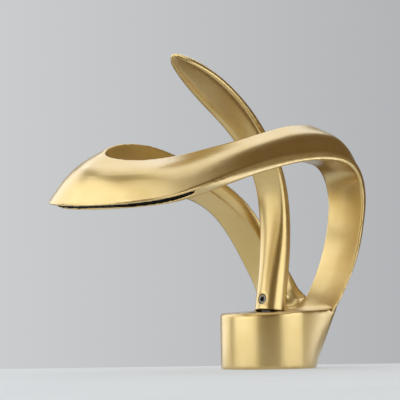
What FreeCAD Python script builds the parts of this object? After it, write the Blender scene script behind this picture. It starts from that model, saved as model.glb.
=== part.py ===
"""Single-lever basin faucet with a ribbon body and a waterfall slot.

Frame: millimetres, +Z up, origin on the base's axis in the plane of the basin deck.
The spout points to -Y and +X is to the user's right. The lever stands in its open place.
"""
import FreeCAD
import Part
import math
import os

vec = FreeCAD.Vector
doc = FreeCAD.newDocument("basin_faucet")

# ------------------------------------------------------------------ driving dimensions

DIMENSIONS = {
    # base of the casting: a round foot that flares backwards into the two legs
    "base_radius": 25.0,
    "base_top_height": 29.8,
    "base_top_slope": 2.5,
    "base_top_round": 1.5,
    "base_round_fade": 3.4,
    "base_blank_height": 34.0,
    "flare_side_radius": 240.0,
    "flare_side_turn": 6.5,
    "flare_corner_radius": 13.0,
    "flare_corner_end": 80.0,
    "foot_side_end": 43.0,
    "foot_corner_end": 69.5,
    # cartridge chamber, from its floor up
    "chamber_radius": 12.6,
    "chamber_floor": 8.5,
    "nut_seat_height": 22.9,
    "nut_thread_radius": 14.0,
    "cover_seat_height": 27.2,
    "cover_seat_radius": 15.5,
    # deck side of the base
    "inlet_x": 7.6,
    "inlet_y": -5.2,
    "inlet_radius": 4.5,
    "inlet_depth": 5.8,
    "filter_seat_radius": 3.9,
    "filter_seat_height": 7.0,
    "port_x": 4.4,
    "port_y": -2.6,
    "port_radius": 1.7,
    "outlet_x": -1.5,
    "outlet_y": 3.6,
    "outlet_radius": 2.2,
    "gallery_width": 5.0,
    "gallery_floor": 3.4,
    "gallery_roof": 6.9,
    "riser_x": -9.5,
    "riser_y": 20.0,
    "riser_radius": 2.6,
    "riser_top": 16.5,
    "stud_x": 3.5,
    "stud_y": 14.0,
    "stud_hole_radius": 4.0,
    "stud_hole_depth": 7.0,
    "seal_groove_radius": 21.2,
    "seal_groove_width": 3.4,
    "seal_groove_depth": 2.2,
    # cartridge
    "housing_radius": 12.5,
    "housing_bore": 11.3,
    "housing_lip_bore": 9.6,
    "housing_lip_height": 21.3,
    "housing_top": 22.5,
    "plate_radius": 11.2,
    "plate_top": 10.5,
    "seal_height": 1.2,
    "seal_width": 0.9,
    "disc_radius": 10.0,
    "fixed_disc_top": 12.3,
    "moving_disc_radius": 7.8,
    "moving_disc_top": 14.1,
    "mixing_pocket_radius": 6.5,
    "mixing_pocket_front": -1.8,
    "mixing_pocket_depth": 1.0,
    "carrier_radius": 7.8,
    "carrier_top": 17.6,
    "turret_bottom": 17.9,
    "turret_flange_radius": 11.2,
    "turret_flange_top": 21.2,
    "turret_neck_radius": 9.52,
    "turret_top": 25.6,
    "turret_slot_width": 6.0,
    "turret_slot_length": 9.4,
    "pivot_height": 21.0,
    "pin_radius": 1.5,
    "pin_length": 15.0,
    "running_gap": 0.08,
    "stem_width": 5.8,
    "stem_foot": 2.6,
    "stem_length": 24.0,
    "ball_drop": 4.8,
    "ball_radius": 1.9,
    "ball_neck_radius": 1.3,
    "ball_socket_radius": 2.0,
    # nut, slip ring and cover ring
    "nut_radius": 13.9,
    "nut_bore": 9.9,
    "nut_top": 26.6,
    "nut_slot_width": 3.0,
    "nut_slot_depth": 1.4,
    "cover_radius": 15.4,
    "cover_bore": 11.0,
    # lever
    "lever_rest_tilt": 10.0,
    "socket_width": 5.9,
    "socket_length": 24.3,
    "screw_height": 14.4,
    "screw_radius": 2.5,
    "screw_length": 4.0,
    "screw_key_radius": 1.35,
    "screw_key_depth": 2.0,
    # under the deck
    "stud_radius": 3.95,
    "stud_length": 62.0,
    "deck_thickness": 20.0,
    "gasket_radius": 22.0,
    "gasket_thickness": 3.0,
    "clamp_radius": 21.0,
    "clamp_thickness": 2.5,
    "horseshoe_gap": 25.0,
    "horseshoe_gap_end": 6.5,
    "stud_nut_flats": 13.0,
    "stud_nut_bore": 4.03,
    "stud_nut_length": 16.0,
    "filter_radius": 3.85,
    "filter_hole_radius": 0.6,
    "filter_hole_ring": 2.3,
}

# Control sections of the ribbon, from the right leg's root round the loop to the left
# leg's root: inner top, outer top, outer low and inner low corner, and the crown of the
# top face. The skin is drawn towards these corners and does not pass through them.
RIBBON = {
    "leg_root": ((3, 29, 15), (17, 25, 15), (19, 14, 15), (3, 14, 15), 1),
    "leg_heel": ((3, 36.5, 29), (19.2, 32, 29), (22.8, 24.5, 28.5), (3, 16.5, 28.5), 1),
    "leg_ankle": ((3, 41, 38), (20.5, 37.6, 38.5), (24, 31, 34.5), (2.8, 24.5, 34), 1),
    "leg_shin": ((3, 46, 47), (21, 43.5, 47), (24.5, 37.2, 44.5), (2.5, 32.3, 42.5), 1.2),
    "leg_low": ((4, 52, 60), (21.8, 51, 60), (25.3, 44.8, 58), (2.5, 41, 57), 1.5),
    "leg_mid": ((4, 56, 75), (22.8, 54.5, 75), (26, 48.4, 74.5), (2.5, 47.5, 74), 2),
    "leg_high": ((4, 58, 91), (24.5, 55.5, 90), (26.8, 50, 89.5), (3, 48.7, 90), 3),
    "arch_back": ((4.5, 57, 107), (26.3, 50.8, 102.5), (27.5, 46.2, 101), (3.5, 44.5, 101.5), 4),
    "arch_rise": ((8, 48, 121), (28, 41, 110), (28, 37.5, 107), (6.5, 34.5, 107), 5),
    "arch_top": ((12.5, 31, 129), (29.2, 28, 112.5), (28.7, 25.5, 108.6), (9.5, 23, 108), 5),
    "arch_front": ((15.7, 10.2, 129), (30.4, 11, 112.5), (29.8, 10, 108.2), (13.5, 7, 108.5), 4),
    "arm_1": ((18.3, -8, 126.5), (31.7, -9, 110.5), (31, -9, 105.8), (16.6, -8, 110.5), 3),
    "arm_2": ((20.5, -28.3, 121.5), (33.5, -30, 107), (32.5, -28, 102), (18.8, -27.5, 108), 2.5),
    "arm_3": ((21.2, -48.5, 116.5), (35.5, -51, 102.2), (34, -49, 97), (19.4, -47.5, 105), 2.5),
    "arm_4": ((19.7, -68.5, 111.5), (38, -73, 96.3), (36, -71, 91.2), (17.4, -66.5, 101), 2.5),
    "arm_5": ((16.2, -86.8, 107), (40.5, -94, 90), (37.5, -91, 85.7), (13.8, -85.8, 97.5), 3.5),
    "head_right": ((13, -102, 104.5), (39.5, -114, 84), (35, -110, 80.5), (11, -100, 95), 4.5),
    "nose_right": ((9, -112, 104), (29, -133, 80.5), (25, -127, 78.5), (8, -109, 94), 5),
    "nose": ((0, -116.5, 105.5), (5, -142, 80), (4, -135.5, 78), (0, -113, 95), 5),
    "nose_left": ((-9, -113, 109), (-20, -140, 82), (-18, -134, 80), (-8, -110, 98), 5),
    "head_left": ((-13, -102, 113.5), (-37, -125, 85), (-33, -120, 82.5), (-12, -100.5, 102), 5),
    "far_6": ((-15.5, -86, 116), (-42, -104, 89.5), (-38.5, -101, 86.5), (-14.5, -85, 104), 4.5),
    "far_5": ((-19, -66, 116), (-43, -80, 93.5), (-40, -77, 90), (-18, -65, 105), 4),
    "far_4": ((-22, -44, 112), (-42.5, -53, 97), (-39.5, -49, 93.5), (-21.5, -42, 102), 3),
    "far_3": ((-22.5, -23, 106), (-41, -27, 95), (-37.5, -24.5, 91.5), (-23, -22, 96), 2.5),
    "far_2": ((-20, -5, 97.5), (-38, -6, 88), (-34, -7.5, 85), (-21.5, -8, 89), 2),
    "far_1": ((-17, 6, 89), (-34.5, 5.5, 77.5), (-31, 2, 74), (-19, 1.5, 81.5), 2),
    "far_mid": ((-14, 12.5, 79.5), (-31, 14, 66), (-28, 8, 62.5), (-16, 8.5, 73.5), 2),
    "far_low": ((-10.5, 18, 68.5), (-27, 20, 55.5), (-25, 12.5, 51.5), (-12.5, 14, 63), 2),
    "far_shin": ((-7, 23.5, 57), (-23, 25.5, 46.5), (-22, 16, 42), (-8.5, 18, 52), 1.5),
    "far_ankle": ((-3.5, 31, 43), (-20, 34, 38), (-20.5, 15.5, 34.5), (-4.5, 22, 40), 1),
    "far_heel": ((0, 36.5, 29), (-18.8, 32.5, 29), (-21, 12, 28), (-1, 17, 28.5), 1),
    "far_root": ((-1, 29, 15), (-17, 25, 15), (-18, 9, 15), (-1, 14, 15), 1),
}
# Control sections of the web between the legs, from inside the right leg, down round the
# saddle and up into the left leg: upper back, upper front, lower front and lower back.
SADDLE = {
    "saddle_right": ((9, 43, 48), (9, 40, 48), (9, 21, 26), (9, 31, 26)),
    "saddle_turn_right": ((5.5, 42, 46), (5.5, 37, 45.5), (5, 20, 26), (5, 31, 26)),
    "saddle_side_right": ((3.2, 40, 42), (3, 32.5, 41), (2.5, 19, 26), (2.5, 32, 26)),
    "saddle_low_right": ((1.8, 37.5, 36.5), (1.5, 27.5, 36), (1, 18, 26), (1, 33, 26)),
    "saddle_low_left": ((-0.6, 35.5, 36.5), (-1, 25.5, 36), (-1, 18, 26), (-1, 33, 26)),
    "saddle_side_left": ((-3, 31.5, 42), (-3.6, 23.5, 41), (-2.5, 19, 26), (-2.5, 32, 26)),
    "saddle_turn_left": ((-5.8, 27, 47), (-6.6, 22, 46), (-5, 20, 26), (-5, 31, 26)),
    "saddle_left": ((-9.5, 25, 48), (-9.5, 21.5, 47.5), (-9.5, 21, 26), (-9.5, 31, 26)),
}
CORNER_NAMES = ("inner_top", "outer_top", "outer_low", "inner_low")
SADDLE_NAMES = ("upper_back", "upper_front", "lower_front", "lower_back")
# How far the control points beside each corner stand from it.
CORNER_ROUNDS = (3.2, 1.8, 1.0, 1.2)
SADDLE_ROUNDS = (2.0, 2.0, 1.0, 1.0)
# How far the outer edge, the lower face and the inner edge bulge.
FACE_CROWNS = (0.3, 0.4, 0.5)

# Control sections of the lever, from the stem's foot to the blade's tip: place of the
# centre in the plane X = 0, half width, depth, and how far the round rod has become a
# dished blade.
LEVER = {
    "foot": (1.5, 29.4, 8.0, 15.6, 0.0),
    "screw": (3.5, 40.5, 8.0, 15.6, 0.0),
    "rod_low": (5.6, 52.0, 8.1, 15.2, 0.08),
    "rod_mid": (7.4, 65.0, 8.4, 14.0, 0.25),
    "rod_high": (7.9, 79.0, 8.7, 12.6, 0.45),
    "neck": (6.6, 92.0, 8.9, 11.0, 0.65),
    "bend_low": (3.0, 103.5, 9.2, 9.5, 0.8),
    "bend_high": (-3.6, 114.0, 9.8, 8.0, 0.9),
    "blade_1": (-12.5, 123.4, 10.8, 6.8, 1.0),
    "blade_2": (-23.0, 132.2, 12.4, 6.0, 1.0),
    "blade_3": (-34.0, 139.6, 13.4, 5.6, 1.0),
    "blade_4": (-45.5, 147.0, 12.8, 5.4, 1.0),
    "blade_5": (-55.0, 152.4, 10.6, 5.2, 1.0),
    "blade_6": (-62.5, 155.9, 7.8, 4.8, 1.0),
    "blade_7": (-67.5, 157.8, 4.8, 4.2, 1.0),
    "tip": (-70.5, 158.7, 1.8, 2.6, 1.0),
}
LEVER_FIELDS = ("centre_y", "centre_z", "half_width", "depth", "blade_share")
# One side of the blade's section, front middle to back middle: share of the half width,
# share of the dish's depth, share of the blade's depth.
BLADE_SIDE = (
    (0.0, 1.0, 0.0),
    (0.42, 1.0, 0.0),
    (0.76, 0.9, 0.0),
    (0.84, 0.0, 0.0),
    (0.99, 0.0, 0.02),
    (1.03, 0.0, 0.36),
    (0.84, 0.0, 0.86),
    (0.42, 0.0, 1.0),
    (0.0, 0.0, 1.06),
)
BLADE_DISH = 1.3

sheet = doc.addObject("Spreadsheet::Sheet", "Dims")
sheet_rows = []


def write_dimension(alias, value):
    """Add one named cell to the sheet."""
    sheet_rows.append(alias)
    row = len(sheet_rows)
    sheet.set("A%d" % row, alias)
    sheet.set("B%d" % row, str(value))
    sheet.setAlias("B%d" % row, alias)


def write_corners(station, corner_names, corners):
    """Add the coordinates of a control section's corners to the sheet."""
    for corner_name, corner in zip(corner_names, corners):
        for axis_name, value in zip("xyz", corner):
            write_dimension("%s_%s_%s" % (station, corner_name, axis_name), value)


for alias, value in DIMENSIONS.items():
    write_dimension(alias, value)
for station, (*corners, crown) in RIBBON.items():
    write_corners(station, CORNER_NAMES, corners)
    write_dimension("%s_crown" % station, crown)
for station, corners in SADDLE.items():
    write_corners(station, SADDLE_NAMES, corners)
for station, values in LEVER.items():
    for field, value in zip(LEVER_FIELDS, values):
        write_dimension("lever_%s_%s" % (station, field), value)
doc.recompute()


def dim(alias):
    """Read a dimension back from the sheet."""
    return float(sheet.get(alias))


# ------------------------------------------------------------------------ small helpers

def bound(kind, name, bindings):
    """A Part primitive whose properties are bound to the sheet."""
    item = doc.addObject(kind, name)
    for prop, expression in bindings.items():
        item.setExpression(prop, expression)
    return item


def cylinder(name, radius, bottom, top, x="0", y="0"):
    """An upright cylinder between two heights."""
    return bound("Part::Cylinder", name, {
        "Radius": radius,
        "Height": "(%s) - (%s)" % (top, bottom),
        "Placement.Base.x": x,
        "Placement.Base.y": y,
        "Placement.Base.z": bottom,
    })


def block(name, width, depth, bottom, top, x="0", y="0"):
    """An upright box, centred on x and y, between two heights."""
    return bound("Part::Box", name, {
        "Length": width,
        "Width": depth,
        "Height": "(%s) - (%s)" % (top, bottom),
        "Placement.Base.x": "(%s) - (%s) / 2" % (x, width),
        "Placement.Base.y": "(%s) - (%s) / 2" % (y, depth),
        "Placement.Base.z": bottom,
    })


def ring(name, outer, bore, bottom, top, x="0", y="0"):
    """A washer or sleeve."""
    body = cylinder(name + "_disc", outer, bottom, top, x, y)
    hole = cylinder(name + "_bore", bore, "%s - 1" % bottom, "%s + 1" % top, x, y)
    return cut(name, body, [hole])


def fuse(name, parts):
    """The union of several objects."""
    item = doc.addObject("Part::MultiFuse", name)
    item.Shapes = parts
    return item


def cut(name, body, tools):
    """A body less one or more tools."""
    item = doc.addObject("Part::Cut", name)
    item.Base = body
    item.Tool = tools[0] if len(tools) == 1 else fuse(name + "_tools", tools)
    return item


def group(name, parts):
    """Separate solids that are one kind of piece."""
    item = doc.addObject("Part::Compound", name)
    item.Links = parts
    return item


def freeform(name, shape):
    """A shape made from the sheet's control sections."""
    item = doc.addObject("Part::Feature", name)
    item.Shape = shape
    return item


# ----------------------------------------------------------------- skins through sections

def skin(rows):
    """A closed solid whose cubic skin follows rows of control points.

    Each row goes once round the section. The first and last row lie in a plane.
    """
    spans = len(rows) - 3
    around = len(rows[0])
    surface = Part.BSplineSurface()
    surface.buildFromPolesMultsKnots(
        rows,
        [4] + [1] * (spans - 1) + [4],
        [1] * (around + 1),
        [float(i) for i in range(spans + 1)],
        [float(i) for i in range(around + 1)],
        False,
        True,
        3,
        3,
    )
    side = surface.toShape()
    caps = []
    for end in (0.0, float(spans)):
        rim = surface.uIso(end).toShape()
        caps.append(Part.Face(Part.Wire([rim])))
    shell = Part.Shell([side] + caps)
    shell.sewShape()
    solid = Part.Solid(shell)
    if solid.Volume < 0:
        solid.reverse()
    return solid


def rounded_row(corners, rounds, crowns):
    """Control points of a four-cornered section with rounded corners."""
    middle = (corners[0] + corners[1] + corners[2] + corners[3]) * 0.25
    row = []
    for index, corner in enumerate(corners):
        before = corners[index - 1]
        after = corners[(index + 1) % 4]
        row.append(corner + (before - corner).normalize() * rounds[index])
        row.append(corner)
        row.append(corner + (after - corner).normalize() * rounds[index])
        along = (after - corner).normalize()
        halfway = (corner + after) * 0.5
        outward = halfway - middle
        outward = outward - along * outward.dot(along)
        row.append(halfway + outward.normalize() * crowns[index])
    return row


def flattened(corners):
    """The four corners moved onto the plane that lies midway between them."""
    middle = (corners[0] + corners[1] + corners[2] + corners[3]) * 0.25
    normal = (corners[1] - corners[3]).cross(corners[0] - corners[2]).normalize()
    return [corner - normal * (corner - middle).dot(normal) for corner in corners]


def station_corners(station, corner_names=CORNER_NAMES):
    """The four control corners of a station, from the sheet."""
    corners = []
    for corner_name in corner_names:
        place = [dim("%s_%s_%s" % (station, corner_name, axis)) for axis in "xyz"]
        corners.append(vec(*place))
    return corners


def inner_corners(corners, low, high, outer, inner):
    """A smaller section inside the ribbon.

    low and high are shares of the way from the lower to the upper face, outer and inner
    are shares of the way from the outer edge to the inner edge.
    """
    inner_top, outer_top, outer_low, inner_low = corners

    def place(height, depth):
        outside = outer_low + (outer_top - outer_low) * height
        inside = inner_low + (inner_top - inner_low) * height
        return outside + (inside - outside) * depth

    return [place(high, inner), place(high, outer), place(low, outer), place(low, inner)]


def tunnel(stations, shares, rounding):
    """A channel or strip inside the ribbon, along some of its stations."""
    rows = []
    last = len(stations) - 1
    for index, station in enumerate(stations):
        corners = inner_corners(station_corners(station), *shares[index])
        if index in (0, last):
            corners = flattened(corners)
        rows.append(rounded_row(corners, [rounding] * 4, [0.0] * 4))
    return skin(rows)


# ---------------------------------------------------------------- shapes of the casting

def ribbon_solid():
    """The legs, the arch, the two arms and the nose as one band."""
    rows = []
    for station in RIBBON:
        crowns = (dim("%s_crown" % station),) + FACE_CROWNS
        rows.append(rounded_row(station_corners(station), CORNER_ROUNDS, crowns))
    return skin(rows)


def arc(centre_x, centre_y, radius, start, end, height):
    """A level arc between two angles in degrees."""
    points = []
    for angle in (start, 0.5 * (start + end), end):
        turn = math.radians(angle)
        points.append(vec(centre_x + radius * math.cos(turn), centre_y + radius * math.sin(turn), height))
    return Part.Arc(*points).toShape()


def base_solid():
    """The foot: round at the deck and in front, flared backwards above."""
    radius = dim("base_radius")
    height = dim("base_blank_height")
    side_end = dim("foot_side_end")
    corner_end = dim("foot_corner_end")
    foot_angles = (-180, 0, side_end, corner_end, 180 - corner_end, 180 - side_end, 180)
    foot = [arc(0, 0, radius, *pair, 0) for pair in zip(foot_angles, foot_angles[1:])]

    side_radius = dim("flare_side_radius")
    side_turn = dim("flare_side_turn")
    corner_radius = dim("flare_corner_radius")
    back_start = dim("flare_corner_end")
    reach = side_radius - corner_radius
    side_x = radius - side_radius
    corner_x = side_x + reach * math.cos(math.radians(side_turn))
    corner_y = reach * math.sin(math.radians(side_turn))
    back_radius = corner_x / math.cos(math.radians(back_start)) + corner_radius
    back_y = corner_y - (back_radius - corner_radius) * math.sin(math.radians(back_start))
    flare = [
        arc(0, 0, radius, -180, 0, height),
        arc(side_x, 0, side_radius, 0, side_turn, height),
        arc(corner_x, corner_y, corner_radius, side_turn, back_start, height),
        arc(0, back_y, back_radius, back_start, 180 - back_start, height),
        arc(-corner_x, corner_y, corner_radius, 180 - back_start, 180 - side_turn, height),
        arc(-side_x, 0, side_radius, 180 - side_turn, 180, height),
    ]
    return Part.makeLoft([Part.Wire(foot), Part.Wire(flare)], True, True)


def above_base_top():
    """Everything above the sloping top face of the base."""
    size = 100.0
    space = Part.makeBox(2 * size, 2 * size, size, vec(-size, -size, 0))
    slope = FreeCAD.Rotation(vec(1, 0, 0), dim("base_top_slope"))
    space.Placement = FreeCAD.Placement(vec(0, 0, dim("base_top_height")), slope)
    return space


def front_round():
    """The sliver outside the round along the front of the base's top edge.

    It leans more than the top face does, so the round fades out towards the legs.
    """
    radius = dim("base_radius")
    small = dim("base_top_round")
    fade = dim("base_round_fade")
    spare = 5.0
    inner = radius - small
    height = small + spare
    sliver = Part.makeCylinder(radius + spare, height, vec(0, 0, -small))
    sliver = sliver.cut(Part.makeCylinder(inner, height + spare, vec(0, 0, -small - 1)))
    sliver = sliver.cut(Part.makeTorus(inner, small, vec(0, 0, -small)))
    lift = radius * math.tan(math.radians(fade))
    lean = FreeCAD.Rotation(vec(1, 0, 0), dim("base_top_slope") + fade)
    sliver.Placement = FreeCAD.Placement(vec(0, 0, dim("base_top_height") + lift), lean)
    reach = 2 * radius
    front = Part.makeBox(2 * reach, reach, 2 * reach, vec(-reach, -reach, 0))
    return sliver.common(front)


def topped_base():
    """The foot with its sloping top and the round along the front edge."""
    return base_solid().cut(above_base_top()).cut(front_round())


def saddle_solid():
    """The web that joins the two legs just above the base, with its U-shaped saddle."""
    rows = []
    for station in SADDLE:
        corners = station_corners(station, SADDLE_NAMES)
        rows.append(rounded_row(corners, SADDLE_ROUNDS, [0.0] * 4))
    return skin(rows)


# ----------------------------------------------------------------- waterway and slot

FAR_ARM = ("far_root", "far_heel", "far_ankle", "far_shin", "far_low", "far_mid", "far_1",
           "far_2", "far_3", "far_4", "far_5", "far_6")
HEAD = ("head_left", "nose_left", "nose", "nose_right", "head_right")
# Shares of the section: lower side, upper side, outer side, inner side.
LEG_CHANNEL = (0.45, 0.78, 0.28, 0.68)
ARM_CHANNEL = (0.32, 0.68, 0.25, 0.75)
HEAD_CHANNEL = (0.30, 0.68, 0.10, 0.62)
END_CHANNEL = (0.36, 0.60, 0.12, 0.50)
SLOT_MOUTH = (0.28, 0.78, -0.20, 0.16)
SLOT_START = (0.46, 0.62, -0.20, 0.14)
SLOT_TAIL = (0.54, 0.66, -0.20, 0.08)
STRIP = (0.30, 0.42, 0.03, 0.13)
STRIP_START = (0.48, 0.56, 0.03, 0.11)
STRIP_TAIL = (0.57, 0.62, 0.02, 0.05)
RIB = (0.36, 0.76, 0.035, 0.12)
RIB_COUNT = 11
# Shares of the slot's length where the first and the last rib stand.
FIRST_RIB = 0.14
LAST_RIB = 0.86
RIB_THICKNESS_SPAN = 0.022
INSERT_BACK_Y = -100.0
CHANNEL_ROUNDING = 0.8
SLOT_ROUNDING = 0.4
STRIP_ROUNDING = 0.1


def waterway():
    """The channel from the base up the left leg and arm into the nose."""
    leg = FAR_ARM[:4]
    arm = FAR_ARM[4:]
    stations = leg + arm + HEAD + ("arm_5",)
    shares = [LEG_CHANNEL] * len(leg) + [ARM_CHANNEL] * len(arm)
    shares += [HEAD_CHANNEL] * len(HEAD) + [END_CHANNEL]
    return tunnel(stations, shares, CHANNEL_ROUNDING)


SLOT_STATIONS = ("far_6",) + HEAD + ("arm_5",)


def along_slot(start, middle, tail, rounding):
    """A tunnel along the nose's lip, with narrower ends."""
    shares = [start] + [middle] * len(HEAD) + [tail]
    return tunnel(SLOT_STATIONS, shares, rounding)


def lip_section(place):
    """The ribbon's four control corners at a place along the slot."""
    corners = []
    for index in range(4):
        poles = [station_corners(station)[index] for station in SLOT_STATIONS]
        spans = len(poles) - 3
        curve = Part.BSplineCurve()
        curve.buildFromPolesMultsKnots(
            poles, [4] + [1] * (spans - 1) + [4], [float(i) for i in range(spans + 1)], False, 3)
        corners.append(curve.value(place))
    return corners


def flow_insert():
    """The strip in the slot and its upright ribs."""
    strip = along_slot(STRIP_START, STRIP, STRIP_TAIL, STRIP_ROUNDING)
    spans = len(SLOT_STATIONS) - 3
    first = FIRST_RIB * spans
    pitch = (LAST_RIB - FIRST_RIB) * spans / (RIB_COUNT - 1)
    ribs = []
    for index in range(RIB_COUNT):
        middle = first + index * pitch
        wires = []
        for place in (middle - RIB_THICKNESS_SPAN, middle + RIB_THICKNESS_SPAN):
            corners = flattened(inner_corners(lip_section(place), *RIB))
            wires.append(Part.makePolygon(corners + corners[:1]))
        ribs.append(Part.makeLoft(wires, True, True))
    size = 100.0
    front = Part.makeBox(2 * size, size, 2 * size, vec(-size, INSERT_BACK_Y - size, 0))
    return strip.fuse(ribs).common(front)


# ------------------------------------------------------------------------- body casting

base = freeform("base_blank", topped_base())
ribbon = freeform("ribbon_blank", ribbon_solid())
saddle = freeform("saddle_blank", saddle_solid())
casting_blank = fuse("casting_blank", [base, ribbon, saddle])

channel = freeform("waterway", waterway())
slot = freeform("water_slot", along_slot(SLOT_START, SLOT_MOUTH, SLOT_TAIL, SLOT_ROUNDING))


def mirrored_pair(make, name, *sizes, x, y):
    """Two equal features, left and right of the base's axis."""
    return [
        make(name + "_left", *sizes, x="-" + x, y=y),
        make(name + "_right", *sizes, x=x, y=y),
    ]


def gallery():
    """The level channel from the cartridge's outlet to the riser in the left leg."""
    start = vec(dim("outlet_x"), dim("outlet_y"), dim("gallery_floor"))
    end = vec(dim("riser_x"), dim("riser_y"), dim("gallery_floor"))
    height = dim("gallery_roof") - dim("gallery_floor")
    width = dim("gallery_width")
    channel_box = Part.makeBox(start.distanceToPoint(end), width, height, vec(0, -width / 2, 0))
    turn = math.degrees(math.atan2(end.y - start.y, end.x - start.x))
    channel_box.Placement = FreeCAD.Placement(start, FreeCAD.Rotation(vec(0, 0, 1), turn))
    return channel_box


seal_outer = "Dims.seal_groove_radius + Dims.seal_groove_width / 2"
seal_inner = "Dims.seal_groove_radius - Dims.seal_groove_width / 2"
casting_tools = [
    freeform("outlet_gallery", gallery()),
    cylinder("riser", "Dims.riser_radius", "Dims.gallery_floor", "Dims.riser_top",
             "Dims.riser_x", "Dims.riser_y"),
    cylinder("outlet_drilling", "Dims.outlet_radius", "Dims.gallery_floor + 1",
             "Dims.chamber_floor + 1", "Dims.outlet_x", "Dims.outlet_y"),
    cylinder("chamber", "Dims.chamber_radius", "Dims.chamber_floor", "Dims.nut_seat_height + 1"),
    cylinder("nut_thread", "Dims.nut_thread_radius", "Dims.nut_seat_height",
             "Dims.cover_seat_height + 1"),
    cylinder("cover_seat", "Dims.cover_seat_radius", "Dims.cover_seat_height",
             "Dims.base_blank_height"),
    cylinder("stud_hole", "Dims.stud_hole_radius", "-1", "Dims.stud_hole_depth",
             "Dims.stud_x", "Dims.stud_y"),
    ring("seal_groove", seal_outer, seal_inner, "-1", "Dims.seal_groove_depth"),
]
casting_tools += mirrored_pair(cylinder, "inlet", "Dims.inlet_radius", "-1", "Dims.inlet_depth",
                               x="Dims.inlet_x", y="Dims.inlet_y")
casting_tools += mirrored_pair(cylinder, "filter_seat", "Dims.filter_seat_radius",
                               "Dims.inlet_depth - 1", "Dims.filter_seat_height",
                               x="Dims.inlet_x", y="Dims.inlet_y")
casting_tools += mirrored_pair(cylinder, "inlet_port", "Dims.port_radius",
                               "Dims.filter_seat_height - 1", "Dims.chamber_floor + 1",
                               x="Dims.port_x", y="Dims.port_y")
casting_cored = cut("casting_cored", casting_blank, [channel])
casting_slotted = cut("casting_slotted", casting_cored, [slot])
body_casting = cut("body_casting", casting_slotted, casting_tools)
spout_flow_insert = freeform("spout_flow_insert", flow_insert())

# ------------------------------------------------------- cartridge: pieces that stay put

housing_lip = ring("housing_lip", "Dims.housing_bore + 0.1", "Dims.housing_lip_bore",
                   "Dims.housing_lip_height", "Dims.housing_top")
housing_wall = ring("housing_wall", "Dims.housing_radius", "Dims.housing_bore",
                    "Dims.chamber_floor", "Dims.housing_top")
cartridge_housing = fuse("cartridge_housing", [housing_wall, housing_lip])

plate_disc = cylinder("plate_disc", "Dims.plate_radius", "Dims.chamber_floor", "Dims.plate_top")
plate_ports = mirrored_pair(cylinder, "plate_port", "Dims.port_radius", "Dims.chamber_floor",
                            "Dims.plate_top + 1", x="Dims.port_x", y="Dims.port_y")
plate_ports.append(cylinder("plate_outlet", "Dims.outlet_radius", "Dims.chamber_floor",
                            "Dims.plate_top + 1", "Dims.outlet_x", "Dims.outlet_y"))
seal_top = "Dims.chamber_floor + Dims.seal_height"
plate_pockets = mirrored_pair(cylinder, "seal_pocket", "Dims.port_radius + Dims.seal_width",
                              "Dims.chamber_floor - 1", seal_top, x="Dims.port_x", y="Dims.port_y")
plate_pockets.append(cylinder("outlet_pocket", "Dims.outlet_radius + Dims.seal_width",
                              "Dims.chamber_floor - 1", seal_top, "Dims.outlet_x", "Dims.outlet_y"))
cartridge_base_plate = cut("cartridge_base_plate", plate_disc, plate_ports + plate_pockets)

port_seals = mirrored_pair(ring, "port_seal", "Dims.port_radius + Dims.seal_width",
                           "Dims.port_radius", "Dims.chamber_floor", seal_top,
                           x="Dims.port_x", y="Dims.port_y")
port_seals.append(ring("outlet_seal", "Dims.outlet_radius + Dims.seal_width", "Dims.outlet_radius",
                       "Dims.chamber_floor", seal_top, "Dims.outlet_x", "Dims.outlet_y"))
cartridge_port_seals = group("cartridge_port_seals", port_seals)

fixed_disc = cylinder("fixed_disc", "Dims.disc_radius", "Dims.plate_top", "Dims.fixed_disc_top")
fixed_ports = mirrored_pair(cylinder, "fixed_port", "Dims.port_radius", "Dims.plate_top - 1",
                            "Dims.fixed_disc_top + 1", x="Dims.port_x", y="Dims.port_y")
fixed_ports.append(cylinder("fixed_outlet", "Dims.outlet_radius", "Dims.plate_top - 1",
                            "Dims.fixed_disc_top + 1", "Dims.outlet_x", "Dims.outlet_y"))
fixed_ceramic_disc = cut("fixed_ceramic_disc", fixed_disc, fixed_ports)

nut_washer = ring("nut_washer", "Dims.housing_radius - 0.1", "Dims.nut_bore",
                  "Dims.housing_top", "Dims.nut_seat_height")
nut_ring = ring("nut_ring", "Dims.nut_radius", "Dims.nut_bore", "Dims.nut_seat_height",
                "Dims.nut_top")
nut_slots = [
    block("nut_slot_x", "Dims.nut_radius * 3", "Dims.nut_slot_width",
          "Dims.nut_top - Dims.nut_slot_depth", "Dims.nut_top + 1"),
    block("nut_slot_y", "Dims.nut_slot_width", "Dims.nut_radius * 3",
          "Dims.nut_top - Dims.nut_slot_depth", "Dims.nut_top + 1"),
]
cartridge_retaining_nut = cut("cartridge_retaining_nut", nut_ring, nut_slots)

cover_blank = ring("cover_blank", "Dims.cover_radius", "Dims.cover_bore",
                   "Dims.cover_seat_height", "Dims.base_blank_height")
cover_ring = cut("cover_ring", cover_blank, [freeform("space_above_base", above_base_top())])

# ---------------------------------------------- cartridge: turret, disc, stem and its pin

ball_y = "-Dims.ball_drop * sin(Dims.lever_rest_tilt * 1 deg)"

moving_disc = cylinder("moving_disc", "Dims.moving_disc_radius", "Dims.fixed_disc_top",
                       "Dims.moving_disc_top", y=ball_y)
pocket_round = cylinder("pocket_round", "Dims.mixing_pocket_radius", "Dims.fixed_disc_top - 1",
                        "Dims.fixed_disc_top + Dims.mixing_pocket_depth", y=ball_y)
pocket_front = block("pocket_front", "Dims.disc_radius * 3", "Dims.disc_radius * 2",
                     "Dims.fixed_disc_top - 2", "Dims.moving_disc_top + 2",
                     y="Dims.mixing_pocket_front - Dims.disc_radius")
mixing_pocket = cut("mixing_pocket", pocket_round, [pocket_front])
moving_ceramic_disc = cut("moving_ceramic_disc", moving_disc, [mixing_pocket])

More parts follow.
